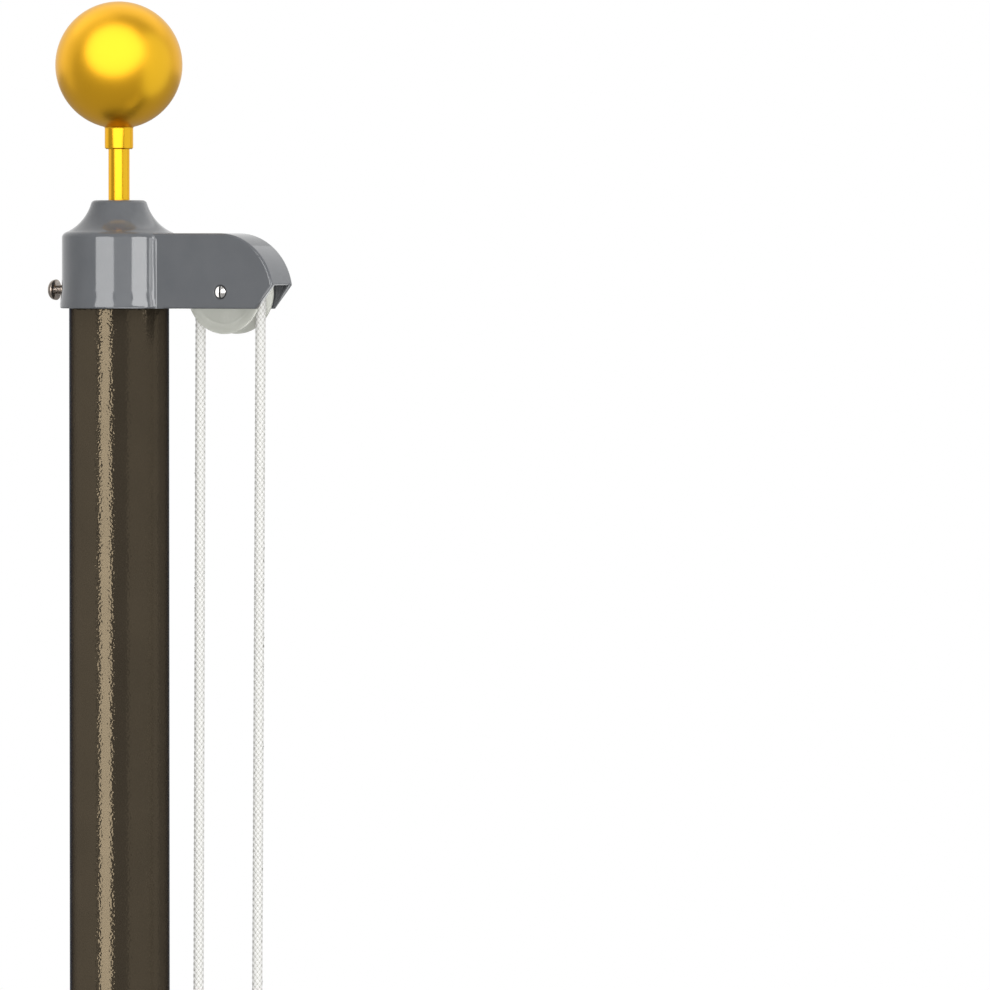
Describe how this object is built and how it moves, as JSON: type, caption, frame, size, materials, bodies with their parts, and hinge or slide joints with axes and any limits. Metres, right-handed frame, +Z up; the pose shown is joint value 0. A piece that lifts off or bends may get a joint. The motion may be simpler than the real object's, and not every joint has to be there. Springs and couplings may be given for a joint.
{
  "type": "sectional flagpole",
  "caption": "Tall tubular flagpole in telescoping sections with a ball finial, a pulley truck, a rope halyard with snap hooks and a cleat to tie it off.",
  "frame": {"origin": "centre of the foot plug's flat bottom face, on the pole's axis", "axes": "+Z up along the pole, +X towards the truck arm, the halyard and the cleat"},
  "size_m": [0.1594, 0.0762, 7.6458],
  "materials": {
    "pole_paint": "gloss bronze powder coat on aluminium, orange peel",
    "truck_paint": "satin grey coat on an aluminium casting",
    "gold_finish": "gold anodised, satin",
    "sheave_nylon": "translucent nylon",
    "hook_nylon": "white nylon",
    "plug_plastic": "gloss black",
    "screw_steel": "bright plated",
    "cleat_metal": "satin grey coat on an aluminium casting",
    "rope_braid": "braided polyester"
  },
  "bodies": {
    "root": {"foot_plug": "plug_plastic", "bottom_section": "pole_paint", "second_section": "pole_paint", "third_section": "pole_paint", "fourth_section": "pole_paint", "top_section": "pole_paint", "truck_body": "truck_paint", "truck_screw": "screw_steel", "pulley_axle": "screw_steel", "finial_rod": "gold_finish", "finial_collar": "gold_finish", "finial_ball": "gold_finish", "cleat": "cleat_metal", "cleat_screw_upper": "screw_steel", "cleat_screw_lower": "screw_steel", "halyard_over_pulley": "rope_braid", "halyard_inner_leg": "rope_braid", "halyard_outer_leg": "rope_braid", "halyard_cleat_turns": "rope_braid"},
    "hoist": {"hitch_lower": "rope_braid", "snap_hook_lower": "hook_nylon", "hitch_upper": "rope_braid", "snap_hook_upper": "hook_nylon"},
    "pulley": {"pulley_wheel": "sheave_nylon"}
  },
  "joints": [
    {"name": "halyard_hoist", "type": "slide", "parent": "root", "child": "hoist", "axis": [0.0083, -0.0035, 1], "range_m": [0, 4.661]},
    {"name": "pulley_spin", "type": "hinge", "parent": "root", "child": "pulley", "pos_m": [0.0767, 0, 7.472], "axis": [0, -1, 0], "continuous": true}
  ],
  "couplings": [
    {"joint": "pulley_spin", "follows": "halyard_hoist", "rad_per_m": 48.781}
  ]
}
